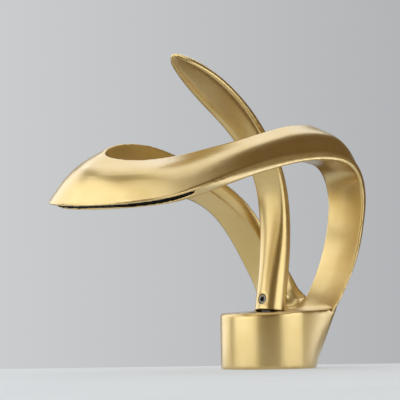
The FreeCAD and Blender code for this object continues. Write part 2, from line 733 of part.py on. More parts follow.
disc_carrier = ring("disc_carrier", "Dims.carrier_radius", "Dims.ball_socket_radius",
                    "Dims.moving_disc_top", "Dims.carrier_top", y=ball_y)


def cross_hole(name, radius, length):
    """A cylinder along X through the pivot."""
    item = bound("Part::Cylinder", name, {"Radius": radius, "Height": length})
    item.Placement = FreeCAD.Placement(vec(0, 0, 0), FreeCAD.Rotation(vec(0, 1, 0), 90))
    item.setExpression("Placement.Base.x", "-(%s) / 2" % length)
    item.setExpression("Placement.Base.z", "Dims.pivot_height")
    return item


turret_blank = fuse("turret_blank", [
    cylinder("turret_flange", "Dims.turret_flange_radius", "Dims.turret_bottom",
             "Dims.turret_flange_top"),
    cylinder("turret_neck", "Dims.turret_neck_radius", "Dims.turret_bottom", "Dims.turret_top"),
])
cartridge_turret = cut("cartridge_turret", turret_blank, [
    block("turret_slot", "Dims.turret_slot_width", "Dims.turret_slot_length",
          "Dims.turret_bottom - 1", "Dims.turret_top + 1"),
    cross_hole("turret_pin_hole", "Dims.pin_radius", "Dims.pin_length"),
])
stem_pivot_pin = cross_hole("stem_pivot_pin", "Dims.pin_radius", "Dims.pin_length")


def lever_place():
    """The pivot's place, leaned back as the lever is in its open place."""
    lean = FreeCAD.Rotation(vec(1, 0, 0), -dim("lever_rest_tilt"))
    return FreeCAD.Placement(vec(0, 0, dim("pivot_height")), lean)


stem_bar = block("stem_bar", "Dims.stem_width", "Dims.stem_width", "-Dims.stem_foot",
                 "Dims.stem_length")
stem_neck = cylinder("stem_neck", "Dims.ball_neck_radius", "-Dims.ball_drop", "0")
stem_ball = bound("Part::Sphere", "stem_ball", {
    "Radius": "Dims.ball_radius",
    "Placement.Base.z": "-Dims.ball_drop",
})
stem_hole = bound("Part::Cylinder", "stem_hole", {
    "Radius": "Dims.pin_radius + Dims.running_gap",
    "Height": "Dims.stem_width * 3",
})
stem_hole.Placement = FreeCAD.Placement(
    vec(-1.5 * dim("stem_width"), 0, 0), FreeCAD.Rotation(vec(0, 1, 0), 90))
stem_blank = fuse("stem_blank", [stem_bar, stem_neck, stem_ball])
cartridge_stem = cut("cartridge_stem", stem_blank, [stem_hole])
cartridge_stem.Placement = lever_place()

# -------------------------------------------------------------------------------- lever


def lever_row(station, along_y, along_z):
    """Control points of the lever's section: a round rod that turns into a dished blade."""
    values = [dim("lever_%s_%s" % (station, field)) for field in LEVER_FIELDS]
    centre_y, centre_z, half_width, depth, share = values
    half = len(BLADE_SIDE) - 1
    swell = 3.0 / (2.0 + math.cos(math.pi / half))
    side = []
    for index, (across, dish, back) in enumerate(BLADE_SIDE):
        angle = math.pi * index / half
        rod_x = swell * math.sin(angle)
        rod_q = 0.5 - 0.5 * swell * math.cos(angle)
        blade_q = back + dish * BLADE_DISH / depth
        side.append((
            half_width * ((1 - share) * rod_x + share * across),
            depth * ((1 - share) * rod_q + share * blade_q - 0.5),
        ))
    outline = side + [(-x, q) for x, q in side[-2:0:-1]]
    return [vec(x, centre_y + q * along_z, centre_z - q * along_y) for x, q in outline]


def lever_blank():
    """The lever before its socket and screw hole are made."""
    stations = list(LEVER)
    centres = [vec(0, dim("lever_%s_centre_y" % name), dim("lever_%s_centre_z" % name))
               for name in stations]
    rows = []
    for index, station in enumerate(stations):
        before = centres[max(index - 1, 0)]
        after = centres[min(index + 1, len(stations) - 1)]
        along = (after - before).normalize()
        rows.append(lever_row(station, along.y, along.z))
    return skin(rows)


def front_hole(name, radius, start, length):
    """A cylinder from inside the lever out through its front, at the grub screw's height."""
    item = bound("Part::Cylinder", name, {"Radius": radius, "Height": length})
    towards_front = FreeCAD.Placement(
        vec(0, -start, dim("screw_height")), FreeCAD.Rotation(vec(1, 0, 0), 90))
    item.Placement = lever_place().multiply(towards_front)
    return item


def lever_socket():
    """The square hole for the stem, from the pivot up the lever."""
    item = bound("Part::Box", "lever_socket", {
        "Length": "Dims.socket_width",
        "Width": "Dims.socket_width",
        "Height": "Dims.socket_length",
    })
    half = 0.5 * dim("socket_width")
    centred = FreeCAD.Placement(vec(-half, -half, 0), FreeCAD.Rotation())
    item.Placement = lever_place().multiply(centred)
    return item


screw_seat = 0.5 * dim("stem_width")
handle_lever = cut("handle_lever", freeform("lever_blank", lever_blank()), [
    lever_socket(),
    front_hole("lever_screw_hole", "Dims.screw_radius", screw_seat, "3 * Dims.screw_length"),
])
screw_front = screw_seat + dim("screw_length")
handle_grub_screw = cut("handle_grub_screw", front_hole(
    "screw_blank", "Dims.screw_radius", screw_seat, "Dims.screw_length"), [
    front_hole("screw_key", "Dims.screw_key_radius", screw_front - dim("screw_key_depth"),
               "Dims.screw_length"),
])

# ------------------------------------------------------------------------ under the deck

base_seal_ring = bound("Part::Torus", "base_seal_ring", {
    "Radius1": "Dims.seal_groove_radius",
    "Radius2": "Dims.seal_groove_depth / 2",
    "Placement.Base.z": "Dims.seal_groove_depth / 2",
})
mounting_stud = cylinder("mounting_stud", "Dims.stud_radius",
                         "Dims.stud_hole_depth - Dims.stud_length", "Dims.stud_hole_depth",
                         "Dims.stud_x", "Dims.stud_y")


def horseshoe(name, radius, bottom, top):
    """A round plate with a slot for the hoses and a hole for the stud."""
    plate = cylinder(name + "_plate", radius, bottom, top)
    gap_depth = "(%s + Dims.horseshoe_gap_end)" % radius
    gap = block(name + "_gap", "Dims.horseshoe_gap", gap_depth, "%s - 1" % bottom, "%s + 1" % top,
                y="Dims.horseshoe_gap_end - %s / 2" % gap_depth)
    hole = cylinder(name + "_hole", "Dims.stud_nut_bore", "%s - 1" % bottom, "%s + 1" % top,
                    "Dims.stud_x", "Dims.stud_y")
    return cut(name, plate, [gap, hole])


gasket_bottom = "-Dims.deck_thickness - Dims.gasket_thickness"
clamp_bottom = gasket_bottom + " - Dims.clamp_thickness"
deck_gasket = horseshoe("deck_gasket", "Dims.gasket_radius", gasket_bottom, "-Dims.deck_thickness")
clamp_washer = horseshoe("clamp_washer", "Dims.clamp_radius", clamp_bottom, gasket_bottom)
hexagon = bound("Part::Prism", "stud_nut_hexagon", {
    "Circumradius": "Dims.stud_nut_flats / 2 / cos(30 deg)",
    "Height": "Dims.stud_nut_length",
    "Placement.Base.x": "Dims.stud_x",
    "Placement.Base.y": "Dims.stud_y",
    "Placement.Base.z": clamp_bottom + " - Dims.stud_nut_length",
})
hexagon.Polygon = 6
stud_nut = cut("stud_nut", hexagon, [
    cylinder("stud_nut_thread", "Dims.stud_nut_bore",
             clamp_bottom + " - Dims.stud_nut_length - 1", clamp_bottom + " + 1",
             "Dims.stud_x", "Dims.stud_y"),
])


def inlet_filter(name, x):
    """A small strainer disc with one hole in the middle and six round it."""
    disc = cylinder(name + "_disc", "Dims.filter_radius", "Dims.inlet_depth",
                    "Dims.filter_seat_height", x, "Dims.inlet_y")
    places = [("0", "0")]
    for angle in range(0, 360, 60):
        places.append(("Dims.filter_hole_ring * cos(%d deg)" % angle,
                       "Dims.filter_hole_ring * sin(%d deg)" % angle))
    holes = []
    for index, (across, along) in enumerate(places):
        holes.append(cylinder("%s_hole_%d" % (name, index), "Dims.filter_hole_radius",
                              "Dims.inlet_depth - 1", "Dims.filter_seat_height + 1",
                              "%s + %s" % (x, across), "Dims.inlet_y + %s" % along))
    return cut(name, disc, holes)


inlet_filters = group("inlet_filters", [
    inlet_filter("filter_left", "-Dims.inlet_x"),
    inlet_filter("filter_right", "Dims.inlet_x"),
])

# ------------------------------------------------------------------- check and write out

NODES = (
    body_casting, spout_flow_insert, cover_ring, cartridge_retaining_nut, nut_washer,
    cartridge_housing, cartridge_base_plate, cartridge_port_seals, fixed_ceramic_disc,
    moving_ceramic_disc, disc_carrier, cartridge_turret, stem_pivot_pin, cartridge_stem,
    handle_lever, handle_grub_screw, base_seal_ring, mounting_stud, deck_gasket,
    clamp_washer, stud_nut, inlet_filters,
)

doc.recompute()
for item in doc.Objects:
    if {"Invalid", "Error"} & set(item.State):
        raise RuntimeError("%s did not build: %s" % (item.Name, item.State))
os.makedirs("parts", exist_ok=True)
for node in NODES:
    node.Label = node.Name
    shape = node.Shape
    if shape.isNull() or not shape.isValid() or not shape.Solids:
        raise RuntimeError("%s has no valid solid" % node.Label)
    shape.exportStep("parts/%s.step" % node.Label)
    print("%-26s solids %d  volume %9.1f mm3" % (node.Label, len(shape.Solids), shape.Volume))
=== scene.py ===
# %% [markdown]
# # A waterfall basin faucet in brushed gold
# The faucet is one brass casting: a round foot, two legs, an arch and two arms that meet in
# a wide nose with a long thin slot across it. A lever stands on a ceramic cartridge in the
# foot and ends in a leaf-shaped blade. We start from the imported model, whose pieces are
# already in place and at real size, and give each one its finish.

# %% Load the model
import math

import bmesh
import bpy
from mathutils import Matrix, Vector
from mathutils.bvhtree import BVHTree


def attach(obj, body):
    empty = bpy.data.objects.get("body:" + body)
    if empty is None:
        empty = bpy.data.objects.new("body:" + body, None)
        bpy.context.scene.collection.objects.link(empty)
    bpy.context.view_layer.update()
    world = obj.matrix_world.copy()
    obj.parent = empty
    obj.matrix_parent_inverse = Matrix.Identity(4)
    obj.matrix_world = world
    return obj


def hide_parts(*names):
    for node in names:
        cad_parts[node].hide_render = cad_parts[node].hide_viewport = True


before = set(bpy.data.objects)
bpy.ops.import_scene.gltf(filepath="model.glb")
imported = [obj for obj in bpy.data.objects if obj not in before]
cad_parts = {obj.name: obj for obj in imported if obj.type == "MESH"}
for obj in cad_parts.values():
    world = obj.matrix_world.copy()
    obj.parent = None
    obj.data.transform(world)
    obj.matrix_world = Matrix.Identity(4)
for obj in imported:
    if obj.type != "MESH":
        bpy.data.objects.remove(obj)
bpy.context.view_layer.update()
MM = 0.001
scene = bpy.context.scene
print("pieces in the model:", len(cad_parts))

# %% [markdown]
# ## The camera
# A product picture like this one is taken from far away with a long lens, low down, just
# above the deck. A long lens keeps upright edges upright. The camera could be moved by eye.
# It is surer to start from one known pixel, where the faucet's axis meets the deck, and to
# work out from it where the camera aims. The camera then leans by less than one degree.

# %% Place the camera
CAMERA_TURN = math.radians(42.0)
CAMERA_LEAN = math.radians(0.8)
CAMERA_DISTANCE = 1100 * MM
CAMERA_HEIGHT = 22 * MM
MM_PER_PIXEL = 0.526
PICTURE_SIZE = 400
FOOT_PIXEL = Vector((266.0, 369.0))
SENSOR_WIDTH = 36.0


def direction(turn, lift):
    """Straight ahead of the nose, turned towards +X and lifted, with a length of 1."""
    return Vector((
        math.sin(turn) * math.cos(lift),
        -math.cos(turn) * math.cos(lift),
        math.sin(lift),
    ))


across = (PICTURE_SIZE / 2 - FOOT_PIXEL.x) * MM_PER_PIXEL * MM
above = (FOOT_PIXEL.y - PICTURE_SIZE / 2) * MM_PER_PIXEL * MM
level_right = Vector((math.cos(CAMERA_TURN), math.sin(CAMERA_TURN), 0.0))
aim = level_right * across + Vector((0, 0, above))
backwards = direction(CAMERA_TURN, math.asin((CAMERA_HEIGHT - above) / CAMERA_DISTANCE))
sideways = Vector((0, 0, 1)).cross(backwards).normalized()
upwards = backwards.cross(sideways)
leaned_right = sideways * math.cos(CAMERA_LEAN) - upwards * math.sin(CAMERA_LEAN)
leaned_up = sideways * math.sin(CAMERA_LEAN) + upwards * math.cos(CAMERA_LEAN)

lens = bpy.data.cameras.new("product_camera")
lens.sensor_width = SENSOR_WIDTH
lens.lens = SENSOR_WIDTH * CAMERA_DISTANCE / (PICTURE_SIZE * MM_PER_PIXEL * MM)
camera = bpy.data.objects.new("product_camera", lens)
scene.collection.objects.link(camera)
axes = Matrix((leaned_right, leaned_up, backwards)).transposed().to_4x4()
camera.matrix_world = Matrix.Translation(aim + backwards * CAMERA_DISTANCE) @ axes
scene.camera = camera
print("lens of %.0f mm, camera at" % lens.lens, tuple(round(c, 3) for c in camera.location))

# %% [markdown]
# ## Small helpers for materials
# Colours are written as they look on screen and turned into the linear values that the
# renderer uses. A node tree could be built by hand in the editor, but one that a script
# builds can be read and changed. One function adds a node, sets it up and links it.

# %% Colour and node helpers


def screen_colour(code, share=1.0):
    """A colour code such as D9BE82, turned linear, with an alpha of 1. A share darkens it."""
    values = []
    for start in (0, 2, 4):
        level = int(code[start:start + 2], 16) / 255
        if level <= 0.04045:
            values.append(level / 12.92)
        else:
            values.append(((level + 0.055) / 1.055) ** 2.4)
    return (*(share * value for value in values), 1.0)


def add_node(tree, kind, settings=None, stops=(), **inputs):
    """Add a node.

    Each input is a value or another node's output, under the socket's name, or under its
    number as in _0. Stops are the places and colours of a colour ramp.
    """
    node = tree.nodes.new(kind)
    for name, value in (settings or {}).items():
        setattr(node, name, value)
    for number, (place, colour) in enumerate(stops):
        node.color_ramp.elements[number].position = place
        node.color_ramp.elements[number].color = colour
    for name, value in inputs.items():
        number = name[1:]
        socket = node.inputs[int(number) if number.isdigit() else name.replace("_", " ")]
        if isinstance(value, bpy.types.NodeSocket):
            tree.links.new(value, socket)
        else:
            socket.default_value = value
    return node


def new_material(name):
    """A material, its node tree with a principled shader and an output, and the shader."""
    material = bpy.data.materials.new(name)
    material.use_nodes = True
    tree = material.node_tree
    tree.nodes.clear()
    shader = add_node(tree, "ShaderNodeBsdfPrincipled")
    add_node(tree, "ShaderNodeOutputMaterial", Surface=shader.outputs["BSDF"])
    return material, tree, shader


# %% [markdown]
# ## Brushed gold
# The casting and the lever are brass, brushed with a fine belt, plated and lacquered. To
# the eye that is a satin sheen: a reflection that is spread out and faintly uneven, under a
# whiter gleam from the clear lacquer. The brushing could be a picture wrapped round the
# piece, but a freeform shape would show its seams. A noise texture in the object's own
# coordinates, drawn out along the brushing, has none. Real brush lines are finer than a
# pixel of the picture. These are 0.6 mm apart, so that a close view still shows them.

# %% Brushed gold material
BRUSH_LINE = 0.6 * MM
ALONG_THE_BRUSHING = 0.06
BRUSH_DEPTH = 0.05 * MM
BRUSH_STRENGTH = 0.035
GOLD_CLOUD = 14 * MM
GOLD_DARK = "D4B772"
GOLD_LIGHT = "DBC082"
GOLD_SMOOTH = 0.28
GOLD_ROUGH = 0.35
LACQUER_ROUGHNESS = 0.24


def brushed_gold(name, brushed_axes):
    """Brass, belt-brushed, gold-plated and lacquered. A 1 marks an axis along the brushing."""
    material, tree, shader = new_material(name)
    place = add_node(tree, "ShaderNodeTexCoord").outputs["Object"]
    stretch = tuple(1 / BRUSH_LINE * (ALONG_THE_BRUSHING if axis else 1.0) for axis in brushed_axes)
    stretched = add_node(tree, "ShaderNodeMapping", Vector=place, Scale=stretch)
    lines = add_node(tree, "ShaderNodeTexNoise", Vector=stretched.outputs["Vector"],
                     Scale=1.0, Detail=3.0, Roughness=0.6)
    clouds = add_node(tree, "ShaderNodeTexNoise", Vector=place,
                      Scale=1 / GOLD_CLOUD, Detail=2.0, Roughness=0.5)
    tone = add_node(tree, "ShaderNodeValToRGB", Fac=clouds.outputs["Fac"],
                    stops=((0.3, screen_colour(GOLD_DARK)), (0.7, screen_colour(GOLD_LIGHT))))
    tree.links.new(tone.outputs["Color"], shader.inputs["Base Color"])
    polish = add_node(tree, "ShaderNodeMapRange", Value=lines.outputs["Fac"],
                      From_Min=0.25, From_Max=0.75, To_Min=GOLD_SMOOTH, To_Max=GOLD_ROUGH)
    tree.links.new(polish.outputs["Result"], shader.inputs["Roughness"])
    relief = add_node(tree, "ShaderNodeBump", Strength=BRUSH_STRENGTH, Distance=BRUSH_DEPTH,
                      Height=lines.outputs["Fac"])
    tree.links.new(relief.outputs["Normal"], shader.inputs["Normal"])
    shader.inputs["Metallic"].default_value = 1.0
    shader.inputs["Coat Weight"].default_value = 1.0
    shader.inputs["Coat Roughness"].default_value = LACQUER_ROUGHNESS
    return material


# %% [markdown]
# ## The metals that aren't plated gold
# The stud and the clamp plate are zinc-plated steel, bluish and dull. The stem, its pin and
# the strainers are stainless steel. The stem is drawn a darker grey than its pin, as painted
# shade, because it stands in the shadow under the lever. The two nuts are plain turned brass,
# a deeper yellow than the gold. Turning leaves fine rings round the axis. They could be cut
# into the mesh, but they are hair-fine, so a wave texture draws them, coarser than real ones
# so that they show. They run round the foot's axis, unless a Mapping node moves them, as it
# does for the stud's nut.

# %% Plain metals
WAVE_RING = 0.314
RING_DEPTH = 0.03 * MM
RING_STRENGTH = 0.15
RING_DARKER = 0.86
TURNED_SPREAD = 0.05


def turned_metal(name, colour, roughness, ring_pitch_mm, centre=(0.0, 0.0, 0.0)):
    """Bare metal with lathe rings round an upright axis through the centre.

    At a scale of 1 the wave texture's rings are WAVE_RING metres apart.
    """
    material, tree, shader = new_material(name)
    place = add_node(tree, "ShaderNodeTexCoord").outputs["Object"]
    moved = add_node(tree, "ShaderNodeMapping", Vector=place, Location=tuple(-c for c in centre))
    rings = add_node(tree, "ShaderNodeTexWave", {"wave_type": "RINGS", "rings_direction": "Z"},
                     Vector=moved.outputs["Vector"], Scale=WAVE_RING / (ring_pitch_mm * MM),
                     Distortion=0.6, Detail=2.0)
    tone = add_node(tree, "ShaderNodeValToRGB", Fac=rings.outputs["Fac"],
                    stops=((0.0, screen_colour(colour, RING_DARKER)), (1.0, screen_colour(colour))))
    tree.links.new(tone.outputs["Color"], shader.inputs["Base Color"])
    polish = add_node(tree, "ShaderNodeMapRange", Value=rings.outputs["Fac"],
                      To_Min=roughness - TURNED_SPREAD, To_Max=roughness + TURNED_SPREAD)
    tree.links.new(polish.outputs["Result"], shader.inputs["Roughness"])
    relief = add_node(tree, "ShaderNodeBump", Strength=RING_STRENGTH, Distance=RING_DEPTH,
                      Height=rings.outputs["Fac"])
    tree.links.new(relief.outputs["Normal"], shader.inputs["Normal"])
    shader.inputs["Metallic"].default_value = 1.0
    return material


# %% [markdown]
# ## Plastics, rubber and ceramic
# The cartridge is injection-moulded plastic, the seals and the gasket are moulded rubber,
# and the two valve discs are lapped alumina. Plastic and rubber look matt, with a fine
# grain from the mould. Lapping leaves the ceramic smooth, with a soft gleam. Each could
# have a recipe of its own, but they differ only in their numbers, so all of them are one
# even noise that shades the colour, the roughness and the relief.

# %% Moulded and fired materials
GRAIN_DEPTH = 0.08 * MM
GRAIN_DARKER = 0.85
MOULDED_SPREAD = 0.06


def moulded(name, colour, roughness, grain_mm, relief_strength):
    """Plastic, rubber or ceramic with a fine even grain."""
    material, tree, shader = new_material(name)
    place = add_node(tree, "ShaderNodeTexCoord").outputs["Object"]
    grain = add_node(tree, "ShaderNodeTexNoise", Vector=place,
                     Scale=1 / (grain_mm * MM), Detail=3.0, Roughness=0.55)
    tone = add_node(tree, "ShaderNodeValToRGB", Fac=grain.outputs["Fac"],
                    stops=((0.25, screen_colour(colour, GRAIN_DARKER)),
                           (0.75, screen_colour(colour))))
    tree.links.new(tone.outputs["Color"], shader.inputs["Base Color"])
    polish = add_node(tree, "ShaderNodeMapRange", Value=grain.outputs["Fac"],
                      To_Min=roughness - MOULDED_SPREAD, To_Max=roughness + MOULDED_SPREAD)
    tree.links.new(polish.outputs["Result"], shader.inputs["Roughness"])
    relief = add_node(tree, "ShaderNodeBump", Strength=relief_strength, Distance=GRAIN_DEPTH,
                      Height=grain.outputs["Fac"])
    tree.links.new(relief.outputs["Normal"], shader.inputs["Normal"])
    return material


# %% [markdown]
# ## A finish for each piece
# Most pieces keep the mesh that they came with and only get a material. After its name, a
# turned metal has its colour, its roughness and the pitch of its rings in millimetres. The
# stud's nut also has its axis. A moulded material has its colour, its roughness, the size
# of its grain in millimetres and the strength of its relief. The casting, the lever, the
# stud and the grub screw aren't in the list, because new pieces stand for them.

# %% Make the materials
STUD_AXIS = Vector((3.5, 14.0, 0.0)) * MM
gold_body = brushed_gold("brushed_gold_body", (0, 1, 0))
gold_ring = brushed_gold("brushed_gold_ring", (1, 0, 0))
gold_lever = brushed_gold("brushed_gold_lever", (0, 1, 1))
FINISHES = {
    "cover_ring": gold_ring,
    "spout_flow_insert": moulded("moulded_dark_insert", "1E1C1A", 0.45, 0.8, 0.2),
    "cartridge_retaining_nut": turned_metal("turned_brass_nut", "C9A65C", 0.32, 0.5),
    "nut_washer": moulded("moulded_acetal_slip_ring", "E6E6E0", 0.4, 0.6, 0.1),
    "cartridge_housing": moulded("moulded_acetal_housing", "D9D9D6", 0.42, 0.7, 0.15),
    "cartridge_base_plate": moulded("moulded_acetal_base_plate", "CFCFCC", 0.42, 0.7, 0.15),
    "cartridge_port_seals": moulded("moulded_rubber_port_seals", "1C1C1C", 0.6, 0.5, 0.25),
    "fixed_ceramic_disc": moulded("lapped_alumina_fixed", "EFEDE6", 0.18, 0.4, 0.04),
    "moving_ceramic_disc": moulded("lapped_alumina_moving", "EFEDE6", 0.18, 0.4, 0.04),
    "disc_carrier": moulded("moulded_nylon_carrier", "3A3D42", 0.4, 0.7, 0.15),
    "cartridge_turret": moulded("moulded_nylon_turret", "26262A", 0.38, 0.7, 0.15),
    "stem_pivot_pin": turned_metal("stainless_pin", "C4C3BF", 0.25, 0.4),
    # The stem is stainless like its pin but drawn a darker grey: painted shade for the shadow under
    # the lever.
    "cartridge_stem": turned_metal("stainless_stem_painted_shade", "8C8A86", 0.5, 0.5),
    "stud_nut": turned_metal("turned_brass_stud_nut", "C9A65C", 0.32, 0.5, STUD_AXIS),
    "base_seal_ring": moulded("moulded_rubber_base_seal", "1A1A1B", 0.55, 0.6, 0.25),
    "deck_gasket": moulded("moulded_rubber_gasket", "242425", 0.62, 0.9, 0.35),
    "clamp_washer": turned_metal("zinc_plated_plate", "B9BCC2", 0.38, 1.0),
    "inlet_filters": turned_metal("stainless_filters", "B5B4AF", 0.35, 0.3),
}
for node_name, finish in FINISHES.items():
    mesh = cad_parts[node_name].data
    mesh.materials.clear()
    mesh.materials.append(finish)
print("finishes:", len(FINISHES))

# %% [markdown]
# ## Smooth copies of the freeform pieces
# The casting is poured, ground and polished, so its corners are soft and its legs run into
# the foot in small fillets. The solid has them as plain meeting faces. Bevels could round
# them, but a bevel wants clean edges, and the model's faces are thin triangles that meet at
# odd angles. So we copy it, close its triangles into one skin, remesh that skin with small
# even faces and let it relax a little. The vertices in a box round the legs' feet relax for
# longer, which makes the fillets. Last, the copy is thinned to under 200,000 triangles.

# %% Make pieces and copies
WELD_DISTANCE = 0.002 * MM


def new_piece(name, skin):
    """An object made from a bmesh, which is used up."""
    odd_edges = sum(1 for edge in skin.edges if not edge.is_manifold)
    print("%-22s %7d edges that don't join two faces" % (name, odd_edges))
    mesh = bpy.data.meshes.new(name)
    skin.to_mesh(mesh)
    skin.free()
    piece = bpy.data.objects.new(name, mesh)
    scene.collection.objects.link(piece)
    return piece


def apply_modifiers(piece):
    """Turn what the modifiers show into the piece's own mesh."""
    bpy.context.view_layer.update()
    shown = piece.evaluated_get(bpy.context.evaluated_depsgraph_get())
    mesh = bpy.data.meshes.new_from_object(shown)
    piece.modifiers.clear()
    piece.data = mesh


def remeshed_copy(node_name, piece_name, voxel):
    """A copy of a node, closed by merging its doubles and remeshed with even faces."""
    skin = bmesh.new()
    skin.from_mesh(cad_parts[node_name].data)
    bmesh.ops.remove_doubles(skin, verts=skin.verts, dist=WELD_DISTANCE)
    piece = new_piece(piece_name, skin)
    remesh = piece.modifiers.new("skin", "REMESH")
    remesh.mode = "VOXEL"
    remesh.voxel_size = voxel
    apply_modifiers(piece)
    return piece


def finish_piece(piece, body, material, replaced):
    """Give a new piece its body and its material, and hide the node that it stands for."""
    piece.data.materials.clear()
    piece.data.materials.append(material)
    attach(piece, body)
    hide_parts(replaced)
    print("%-22s %7d faces" % (piece.name, len(piece.data.polygons)))


# %% Relax and thin out


def inside(point, low, high):
    """Whether a point lies in the box between two corners."""
    return all(low[axis] < point[axis] < high[axis] for axis in range(3))


def relax(piece, steps, box=None):
    """Move all vertices, or those in a box, halfway to their neighbours' middle, several times."""
    skin = bmesh.new()
    skin.from_mesh(piece.data)
    moved = [vertex for vertex in skin.verts if box is None or inside(vertex.co, *box)]
    for _ in range(steps):
        bmesh.ops.smooth_vert(skin, verts=moved, factor=0.5, use_axis_x=True,
                              use_axis_y=True, use_axis_z=True)
    for face in skin.faces:
        face.smooth = True
    skin.to_mesh(piece.data)
    skin.free()
    print("%-22s %7d vertices relaxed" % (piece.name, len(moved)))


def thin_out(piece, most_triangles):
    """Merge the four-sided faces of a remeshed piece until about so many triangles are left."""
    thin = piece.modifiers.new("thin", "DECIMATE")
    thin.ratio = min(1.0, most_triangles / (2 * len(piece.data.polygons)))
    apply_modifiers(piece)


# %% The casting: remesh, relax, fillet the legs' feet
CASTING_VOXEL = 0.6 * MM
CASTING_RELAX = 5
FILLET_RELAX = 70
FILLET_BOX = (Vector((-19.0, 7.0, 28.2)) * MM, Vector((23.0, 27.0, 38.0)) * MM)
MOST_TRIANGLES = 190_000

casting = remeshed_copy("body_casting", "polished_casting", CASTING_VOXEL)
relax(casting, CASTING_RELAX)
relax(casting, FILLET_RELAX, FILLET_BOX)
thin_out(casting, MOST_TRIANGLES)
finish_piece(casting, "body", gold_body, "body_casting")

# %% [markdown]
# ## Inside the slot
# The channel behind the slot is left as it was cast, rough, because no belt reaches into it.
# Its near-black colour is painted shade, for the deep shadow inside the slot. Its faces could
# be picked with a box, but the channel bends with the nose. Instead each face sends a short
# ray along its normal, and where the ray hits the casting again, the face looks across the
# channel. Only the nose is tested, where the channel can be seen. The recipe is the moulded
# one, because a cast skin is matt and grainy too.

# %% As-cast finish in the slot
NOSE_BACK = -60 * MM
CHANNEL_HEIGHT = 9 * MM
RAY_START = 0.05 * MM


def darken_channel(piece, material):
    """Give the channel's faces in the nose a second material, a near-black painted shade."""
    piece.data.materials.append(material)
    skin = bmesh.new()
    skin.from_mesh(piece.data)
    tree = BVHTree.FromBMesh(skin)
    channel = 0
    for face in skin.faces:
        centre = face.calc_center_median()
        if centre.y > NOSE_BACK:
            continue
        if tree.ray_cast(centre + face.normal * RAY_START, face.normal, CHANNEL_HEIGHT)[0]:
            face.material_index = 1
            channel += 1
    skin.to_mesh(piece.data)
    skin.free()
    print("faces of the channel:", channel)


# The near-black colour is painted shade for the deep channel; the rough grain is the cast skin's.
darken_channel(casting, moulded("as_cast_channel_painted_shade", "1C1710", 0.7, 0.5, 0.3))

# %% [markdown]
# ## The lever
# The lever is forged, then polished by hand, so the rim of its blade is a soft roll round a
# dished face. It could be modelled anew from a curve, but the model's lever already has the
# right form, and only its edges are too sharp. So it is made as the casting is, with
# smaller faces, because the rim is narrow, and with more relaxing, which gives the roll.

# %% The lever: remesh and relax
LEVER_VOXEL = 0.42 * MM
LEVER_RELAX = 14

lever = remeshed_copy("handle_lever", "polished_lever", LEVER_VOXEL)
relax(lever, LEVER_RELAX)
finish_piece(lever, "lever", gold_lever, "handle_lever")

# %% [markdown]
# ## The mounting stud
# The faucet is pulled down onto the deck by an M8 stud with a nut. Bump in the material
# could draw the thread, but the mesh would still be a plain rod. The thread is a real helix
# here: a small tooth is spun round the axis while it climbs one pitch a turn. The rod is
# made a few turns too long, and both ends are cut square.

# %% Threaded stud
STUD_RADIUS = 3.95 * MM
STUD_TOP = 7.0 * MM
STUD_FOOT = -55.0 * MM
THREAD_PITCH = 1.25 * MM
THREAD_DEPTH = 0.65 * MM
THREAD_STEPS = 32
SPARE_TURNS = 3


def threaded_stud():
    """A rod with a helical thread, cut square at both ends."""
    rod = bmesh.new()
    root = STUD_RADIUS - THREAD_DEPTH
    low = rod.verts.new((root, 0, 0))
    crest = rod.verts.new((STUD_RADIUS, 0, THREAD_PITCH / 2))
    high = rod.verts.new((root, 0, THREAD_PITCH))
    tooth = [low, crest, high, rod.edges.new((low, crest)), rod.edges.new((crest, high))]
    turns = math.ceil((STUD_TOP - STUD_FOOT) / THREAD_PITCH) + SPARE_TURNS
    bmesh.ops.spin(rod, geom=tooth, cent=(0, 0, 0), axis=(0, 0, 1),
                   dvec=(0, 0, THREAD_PITCH / THREAD_STEPS), angle=turns * math.tau,
                   steps=turns * THREAD_STEPS)
    bmesh.ops.remove_doubles(rod, verts=rod.verts, dist=WELD_DISTANCE)
    start = STUD_AXIS + Vector((0, 0, STUD_FOOT - SPARE_TURNS / 2 * THREAD_PITCH))
    bmesh.ops.translate(rod, verts=rod.verts, vec=start)
    for level, outwards in ((STUD_TOP, 1), (STUD_FOOT, -1)):
        everything = rod.verts[:] + rod.edges[:] + rod.faces[:]
        cut = bmesh.ops.bisect_plane(rod, geom=everything, plane_co=(0, 0, level),
                                     plane_no=(0, 0, outwards), clear_outer=True)
        rim = [part for part in cut["geom_cut"] if isinstance(part, bmesh.types.BMEdge)]
        bmesh.ops.edgeloop_fill(rod, edges=rim)
    bmesh.ops.recalc_face_normals(rod, faces=rod.faces)
    return new_piece("threaded_stud", rod)


stud = threaded_stud()
zinc_plated_stud = turned_metal("zinc_plated_stud", "B4B8BF", 0.36, 0.8)
finish_piece(stud, "body", zinc_plated_stud, "mounting_stud")

# %% [markdown]
# ## The grub screw
# The lever is held on its stem by a small screw with a hexagon socket, turned from steel
# and blackened. What the eye sees is a bright socket in a dark ring. That brightness is
# painted in as a highlight: the steel is drawn a mid grey instead of black. The socket could
# be cut with a boolean, but operators are enough: a disc is given its length, its rim is
# bevelled and its face is inset. That face's outline is then pulled onto a hexagon and sunk.

# %% Helpers for what is extruded from a circle


def new_vertices(extruded):
    """The vertices among what an extrusion returns."""
    return [part for part in extruded["geom"] if isinstance(part, bmesh.types.BMVert)]


def pull(vertex, reach_at):
    """Move a vertex straight towards or away from the axis, to what its angle asks for."""
    angle = math.atan2(vertex.co.y, vertex.co.x)
    reach = reach_at(angle)
    vertex.co.x = reach * math.cos(angle)
    vertex.co.y = reach * math.sin(angle)


